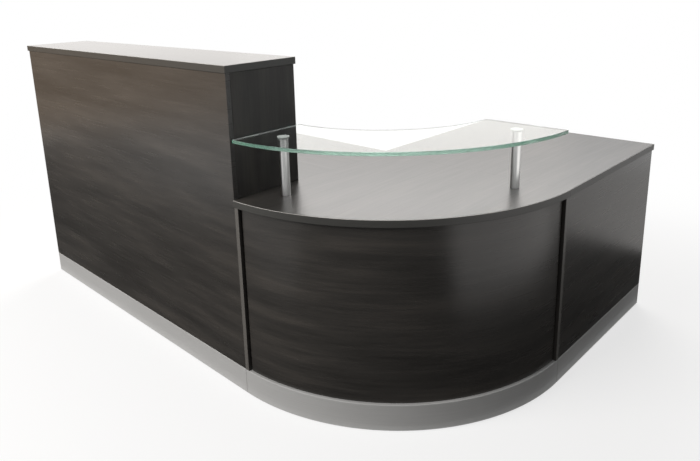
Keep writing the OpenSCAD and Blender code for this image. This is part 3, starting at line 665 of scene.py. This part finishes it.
for node in ("tall_front_panel", "low_front_panel", "corner_curved_panel"):
    rounded(node, front_laminate, PANEL_ROUND)
for node in ("tall_end_panel_left", "tall_end_panel_right", "low_end_panel_left", "low_end_panel_right",
             "counter_side_left", "counter_side_right", "counter_divider", "corner_gable_left",
             "corner_gable_right", "corner_battens"):
    rounded(node, upright_laminate, PANEL_ROUND)
rounded("counter_top", counter_laminate, TOP_ROUND)
rounded("tall_worktop", long_top_laminate, TOP_ROUND)
for node in ("corner_worktop", "low_worktop"):
    rounded(node, wing_top_laminate, TOP_ROUND)
for node in ("tall_plinth", "corner_plinth", "low_plinth"):
    rounded(node, silver_foil, PLINTH_ROUND)

# %% [markdown]
# The strips round the tops are trimmed with a small chamfer, which the model already has. A flat
# chamfer would flash in one direction only, so the two edges of it are rounded into a soft arris.
# The bright line along the front of the worktop is partly the light this arris catches and partly the
# highlight painted on it.

# %% Soften the strips round the tops
ARRIS, ARRIS_BLUNTEST = 0.5 * MM, 30
for node in ("tall_worktop_edging", "counter_top_edging", "corner_worktop_edging", "low_worktop_edging"):
    rounded(node, top_edging, ARRIS, bluntest=ARRIS_BLUNTEST)

# %% [markdown]
# The two gables show only their noses between the panels, and each nose has a thin strip pressed on
# it. A paler colour on the nose alone would have no edge to catch the light, so the strip is a piece
# of its own: a cube that is stretched to the nose and then beveled.

# %% Strips on the gables' noses
STRIP_T = 0.5 * MM
STRIP_ROUND = STRIP_T / 2.2
plinth_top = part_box("corner_plinth")[1].z


def nose_strip(name, low, high):
    """A thin strip that fills a box, with its edges rounded."""
    bm = bmesh.new()
    bmesh.ops.create_cube(bm, size=1)
    bmesh.ops.scale(bm, vec=high - low, verts=bm.verts)
    bmesh.ops.translate(bm, vec=(low + high) / 2, verts=bm.verts)
    bmesh.ops.bevel(bm, geom=bm.edges, offset=STRIP_ROUND, offset_type="OFFSET", segments=2, profile=0.5,
                    affect="EDGES", clamp_overlap=True, material=-1)
    keep_piece(name, bm, gable_edging)


low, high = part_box("corner_gable_left")
nose_strip("gable_left_strip", Vector((low.x, low.y - STRIP_T, plinth_top)),
           Vector((high.x, low.y, high.z)))
low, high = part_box("corner_gable_right")
nose_strip("gable_right_strip", Vector((high.x, low.y, plinth_top)),
           Vector((high.x + STRIP_T, high.y, high.z)))

# %% [markdown]
# The glass is a band cut from a ring. It could be cut from a flat sheet with a boolean, but a spun
# section gives even ground corners along both curves. It is a rectangle whose corners are beveled
# as vertices, and its outline is spun a quarter turn round the arc's middle. Two planes then trim
# the ends, one beside the counter and one square to the wing. The discs are bonded under it with a
# thin film of clear glue, which is taken as part of the glass, so that the discs' bright tops show
# through it.

# %% Spin the glass shelf
GLASS_W = 0.305
GLASS_ARRIS = MM
GLASS_STEPS = 120
GLUE = 0.1 * MM
low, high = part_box("glass_shelf")
under = low.z - GLUE
front_r = math.hypot(low.x - ARC.x, low.y - ARC.y)
rear_r = front_r - GLASS_W
bm = bmesh.new()
section = [(rear_r, under), (front_r, under), (front_r, high.z), (rear_r, high.z)]
corners = [bm.verts.new((ARC.x, ARC.y - r, z)) for r, z in section]
bm.faces.new(corners)
bmesh.ops.bevel(bm, geom=corners, offset=GLASS_ARRIS, offset_type="OFFSET", segments=2, profile=0.5,
                affect="VERTICES", material=-1)
bmesh.ops.delete(bm, geom=bm.faces[:], context="FACES_ONLY")
bmesh.ops.spin(bm, geom=bm.verts[:] + bm.edges[:], cent=ARC, axis=(0, 0, 1), angle=QUARTER,
               steps=GLASS_STEPS)
for place, side in (((low.x, 0, 0), (-1, 0, 0)), ((0, high.y, 0), (0, 1, 0))):
    bmesh.ops.bisect_plane(bm, geom=bm.verts[:] + bm.edges[:] + bm.faces[:], plane_co=place,
                           plane_no=side, clear_outer=True)
bmesh.ops.holes_fill(bm, edges=[e for e in bm.edges if e.is_boundary])
bmesh.ops.recalc_face_normals(bm, faces=bm.faces)
keep_piece("glass_shelf_finished", bm, glass_material, nodes=["glass_shelf"])

# %% [markdown]
# Posts, discs, the leg and its flange are round parts, so every rim is short and all of them are
# rounded. The function for boards does it when it is told to take short edges too. The steel
# brackets and plates get a smaller round on their longer edges only, so that their holes stay true.

# %% Round the metalwork
TUBE_ROUND, CAST_ROUND = 0.5 * MM, 0.4 * MM
STEEL_ROUND, STEEL_EDGE = 0.3 * MM, 15 * MM
for node in ("post_left", "post_right", "corner_leg"):
    rounded(node, satin_chrome, TUBE_ROUND, shortest=0)
for node in ("post_discs", "corner_leg_flange"):
    rounded(node, silver_cast, CAST_ROUND, shortest=0)
for node in ("angle_brackets", "joining_plates"):
    rounded(node, zinc_steel, STEEL_ROUND, shortest=STEEL_EDGE)

# %% [markdown]
# Wood screws hold the brackets, the plates and the leg's flange. Their pan heads have a cross for
# the driver. A cross could be cut with a boolean, but a grid of nine squares already holds one. Its
# middle lines are drawn together until the five inner squares are a narrow cross, its corners are
# drawn in towards a round, and the edges of its rim are cut in two, ready to meet a rounder ring.

# %% Draw a cross for the driver
HEAD_H = 2.4 * MM
CROSS_R, CROSS_W = 2.2 * MM, 0.9 * MM
CORNER_IN = 0.8


def draw_cross(bm):
    """A grid of nine squares whose five inner squares are a narrow cross. Returns the cross."""
    bmesh.ops.create_grid(bm, x_segments=3, y_segments=3, size=CROSS_R)
    for vert in bm.verts:
        for axis in (0, 1):
            if abs(vert.co[axis]) < CROSS_R / 2:
                vert.co[axis] = math.copysign(CROSS_W / 2, vert.co[axis])
        if min(abs(vert.co.x), abs(vert.co.y)) > CROSS_R / 2:
            vert.co *= CORNER_IN
        vert.co.z = HEAD_H
    bmesh.ops.subdivide_edges(bm, edges=[e for e in bm.edges if e.is_boundary], cuts=1)
    middles = [(f, f.calc_center_median()) for f in bm.faces]
    return [f for f, middle in middles if min(abs(middle.x), abs(middle.y)) < CROSS_W / 2]


bm = bmesh.new()
print("a cross takes", len(draw_cross(bm)), "of", len(bm.faces), "squares")
bm.free()

# %% [markdown]
# The cross is pushed down into the head. The grid's rim is bridged to a wider and lower ring with as
# many points, which makes the dome, and the ring is drawn down to the steel. All screws are alike, so
# one head is kept as a mesh to copy from.

# %% Shape a pan head
HEAD_R, HEAD_DOME = 4.2 * MM, 1.1 * MM
CROSS_DEEP = 1.2 * MM


def screw_head():
    """A pan head that stands on z = 0 and faces up."""
    bm = bmesh.new()
    cross = draw_cross(bm)
    rim = [e for e in bm.edges if e.is_boundary]
    sunk = bmesh.ops.extrude_face_region(bm, geom=cross)["geom"]
    sunk = [v for v in sunk if isinstance(v, bmesh.types.BMVert)]
    bmesh.ops.translate(bm, vec=(0, 0, -CROSS_DEEP), verts=sunk)
    bmesh.ops.delete(bm, geom=cross, context="FACES_ONLY")
    ring = bmesh.ops.create_circle(bm, segments=len(rim), radius=HEAD_R)["verts"]
    bmesh.ops.rotate(bm, verts=ring, cent=(0, 0, 0), matrix=Matrix.Rotation(QUARTER / 2, 3, "Z"))
    bmesh.ops.translate(bm, verts=ring, vec=(0, 0, HEAD_H - HEAD_DOME))
    ring_edges = [e for e in bm.edges if e.verts[0] in ring and e.verts[1] in ring]
    bmesh.ops.bridge_loops(bm, edges=rim + ring_edges)
    skirt = bmesh.ops.extrude_edge_only(bm, edges=ring_edges)["geom"]
    skirt = [v for v in skirt if isinstance(v, bmesh.types.BMVert)]
    bmesh.ops.translate(bm, verts=skirt, vec=(0, 0, HEAD_DOME - HEAD_H))
    bmesh.ops.holes_fill(bm, edges=[e for e in bm.edges if e.is_boundary])
    bmesh.ops.recalc_face_normals(bm, faces=bm.faces)
    return bm


head = screw_head()
head_mesh = bpy.data.meshes.new("pan_head")
head.to_mesh(head_mesh)
head.free()
print("a pan head has", len(head_mesh.polygons), "faces")

# %% [markdown]
# A head goes on each drilled hole. The model keeps all fittings of a kind in one mesh, so the
# separate brackets and plates are found by walking from vertex to vertex along the edges. A list of
# places would do as well, but it would not follow a change of size. The heads of one kind of fitting
# are one piece, because they never move apart.

# %% Find the fittings and drive the screws
DOME_SMOOTH = math.radians(40)
UP, DOWN = Vector((0, 0, 1)), Vector((0, 0, -1))


def islands(node):
    """The boxes and vertices of a CAD node's separate solids."""
    bm = whole_faces(node)
    taken = set()
    for start in bm.verts:
        if start in taken:
            continue
        taken.add(start)
        group = [start]
        for vert in group:
            near = [e.other_vert(vert) for e in vert.link_edges if e.other_vert(vert) not in taken]
            taken.update(near)
            group.extend(near)
        places = [v.co.copy() for v in group]
        low, high = (Vector([pick(p[i] for p in places) for i in range(3)]) for pick in (min, max))
        yield low, high, places
    bm.free()


def drive_screws(name, seats):
    """One piece with a head at each seat, which is a place and the direction that the head faces."""
    bm = bmesh.new()
    for place, facing in seats:
        old = set(bm.verts)
        bm.from_mesh(head_mesh)
        turn = UP.rotation_difference(facing).to_matrix().to_4x4()
        bmesh.ops.transform(bm, matrix=Matrix.Translation(place) @ turn,
                            verts=[v for v in bm.verts if v not in old])
    keep_piece(name, bm, zinc_steel, smooth=DOME_SMOOTH)


for node in ("angle_brackets", "joining_plates"):
    print(node, "has", len(list(islands(node))), "solids")

# %% [markdown]
# Each bracket has two screws up into the top and two into the upright. Which side its upright is on
# shows in its lowest vertices, so no list of sides has to be kept by hand.

# %% Screws of the angle brackets
STEEL_T = 3 * MM
BRACKET_HOLE, BRACKET_PAIR = 16.5 * MM, 10 * MM

bracket_seats = []
for low, high, places in islands("angle_brackets"):
    middle = (low + high) / 2
    run = 0 if high.x - low.x > high.y - low.y else 1
    across = 1 - run
    lowest = [p[across] for p in places if p.z < low.z + MM]
    side = math.copysign(1, sum(lowest) / len(lowest) - middle[across])
    wall = high[across] if side > 0 else low[across]
    inward = Vector((0, 0, 0))
    inward[across] = -side
    for shift in (-BRACKET_PAIR, BRACKET_PAIR):
        under, beside = middle.copy(), middle.copy()
        under[run] += shift
        beside[run] += shift
        under[across], under.z = wall - side * BRACKET_HOLE, high.z - STEEL_T
        beside[across], beside.z = wall - side * STEEL_T, high.z - BRACKET_HOLE
        bracket_seats += [(under, DOWN), (beside, inward)]
drive_screws("bracket_screws", bracket_seats)

# %% [markdown]
# A plate has a screw near each corner, and the flange has four on a circle halfway between the tube
# and its rim. Both are measured from the boxes of the pieces, as the holes are in the model.

# %% Screws of the plates and the flange
PLATE_HOLE = 11 * MM
plate_seats = [(Vector((x, y, low.z)), DOWN) for low, high, places in islands("joining_plates")
               for x in (low.x + PLATE_HOLE, high.x - PLATE_HOLE)
               for y in (low.y + PLATE_HOLE, high.y - PLATE_HOLE)]
drive_screws("plate_screws", plate_seats)

low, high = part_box("corner_leg_flange")
leg_low, leg_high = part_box("corner_leg")
hole_r = ((high.x - low.x) / 2 + (leg_high.x - leg_low.x) / 2) / 2
middle = Vector(((low.x + high.x) / 2, (low.y + high.y) / 2, low.z))
flange_seats = [(middle + Matrix.Rotation(QUARTER * i, 3, "Z") @ Vector((hole_r, 0, 0)), DOWN)
                for i in range(4)]
drive_screws("flange_screws", flange_seats)
bpy.data.meshes.remove(head_mesh)

# %% [markdown]
# The desk stands on screw feet. The pad of a foot is a turned shape, so half of its outline is drawn
# and spun round. A cylinder with a bevel would come close, but it would miss the slope of the top.

# %% Turn the pad of a foot
PAD_R, PAD_H, PAD_ROUND, PAD_SLOPE = 13 * MM, 7 * MM, MM, 2 * MM
CREST_R = 3.95 * MM
TURN_STEPS = 16
FULL_TURN = 2 * math.pi


def foot_pad():
    """A spun pad with a rounded foot and a sloping top."""
    bm = bmesh.new()
    outline = [(0, 0), (PAD_R, 0), (PAD_R, PAD_H - PAD_SLOPE), (CREST_R + PAD_SLOPE, PAD_H), (0, PAD_H)]
    points = [bm.verts.new((r, 0, z)) for r, z in outline]
    for pair in zip(points, points[1:]):
        bm.edges.new(pair)
    bmesh.ops.bevel(bm, geom=points[1:4], offset=PAD_ROUND, offset_type="OFFSET", segments=3, profile=0.5,
                    affect="VERTICES", material=-1)
    bmesh.ops.spin(bm, geom=bm.verts[:] + bm.edges[:], axis=(0, 0, 1), angle=FULL_TURN,
                   steps=2 * TURN_STEPS, use_merge=True)
    bmesh.ops.remove_doubles(bm, verts=bm.verts, dist=WELD)
    bmesh.ops.recalc_face_normals(bm, faces=bm.faces)
    return bm


pad = foot_pad()
print("a pad has", len(pad.faces), "faces")

# %% [markdown]
# The stem's thread is one tooth that is spun many turns while it climbs. A stack of rings would look
# alike from afar, but a thread climbs. Each turn rises by the height of the tooth, so the turns meet
# and can be merged. Two planes trim the thread to the stem, and the ends are closed.

# %% Cut the thread of a foot
THREAD_PITCH, ROOT_R = 1.25 * MM, 3.3 * MM
TOOTH = [(ROOT_R, 0), (ROOT_R, 0.15), (CREST_R, 0.5), (CREST_R, 0.62), (ROOT_R, 1)]
SPARE_TURNS, TURNS_BELOW = 3, 2


def foot_stem(top):
    """A threaded stem from the top of the pad up to a height. The tooth's heights are in pitches."""
    turns = math.ceil((top - PAD_H) / THREAD_PITCH) + SPARE_TURNS
    bm = bmesh.new()
    points = [bm.verts.new((r, 0, PAD_H + (z - TURNS_BELOW) * THREAD_PITCH)) for r, z in TOOTH]
    for pair in zip(points, points[1:]):
        bm.edges.new(pair)
    bmesh.ops.spin(bm, geom=bm.verts[:] + bm.edges[:], axis=(0, 0, 1), angle=FULL_TURN * turns,
                   steps=TURN_STEPS * turns, dvec=(0, 0, THREAD_PITCH / TURN_STEPS))
    bmesh.ops.remove_doubles(bm, verts=bm.verts, dist=WELD)
    for height, side in ((PAD_H, -1), (top, 1)):
        bmesh.ops.bisect_plane(bm, geom=bm.verts[:] + bm.edges[:] + bm.faces[:],
                               plane_co=(0, 0, height), plane_no=(0, 0, side), clear_outer=True)
    bmesh.ops.holes_fill(bm, edges=[e for e in bm.edges if e.is_boundary])
    bmesh.ops.recalc_face_normals(bm, faces=bm.faces)
    return bm


feet = [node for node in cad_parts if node.startswith("foot_") and node != "foot_inserts"]
stem = foot_stem(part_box(feet[0])[1].z)
print("a stem has", len(stem.faces), "faces")

# %% [markdown]
# All feet are alike, so the one pad and the one stem are copied to each place. Every foot rides its
# own body, because each is screwed out by itself when the desk is levelled.

# %% Stand the desk on its feet
for foot in feet:
    low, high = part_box(foot)
    middle = Vector(((low.x + high.x) / 2, (low.y + high.y) / 2, 0))
    pad_here, stem_here = pad.copy(), stem.copy()
    bmesh.ops.translate(pad_here, verts=pad_here.verts, vec=middle)
    bmesh.ops.translate(stem_here, verts=stem_here.verts, vec=middle)
    keep_piece(foot + "_pad", pad_here, black_plastic, foot, [foot])
    keep_piece(foot + "_stem", stem_here, zinc_steel, foot)
pad.free()
stem.free()

# %% [markdown]
# The cable port is two mouldings, a liner in the worktop and a cap that turns in it. Both get the
# small round of a moulding's edges. The rest of the fittings are small and mostly hidden, so they
# keep the shape that they have in the model and take a plated finish.

# %% Finish the port and the small fittings
LINER_ROUND, CAP_ROUND = 0.5 * MM, 0.4 * MM
rounded("cable_port_liner", black_plastic, LINER_ROUND, shortest=0)
rounded("cable_port_cap", black_plastic, CAP_ROUND, shortest=0, body="cable_cap")
for node in ("post_bolts", "post_washers", "joining_sleeves", "joining_screws", "cam_locks", "cam_bolts",
             "foot_inserts"):
    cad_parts[node].data.materials.clear()
    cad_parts[node].data.materials.append(zinc_steel)
    print(node, "is zinc-plated")
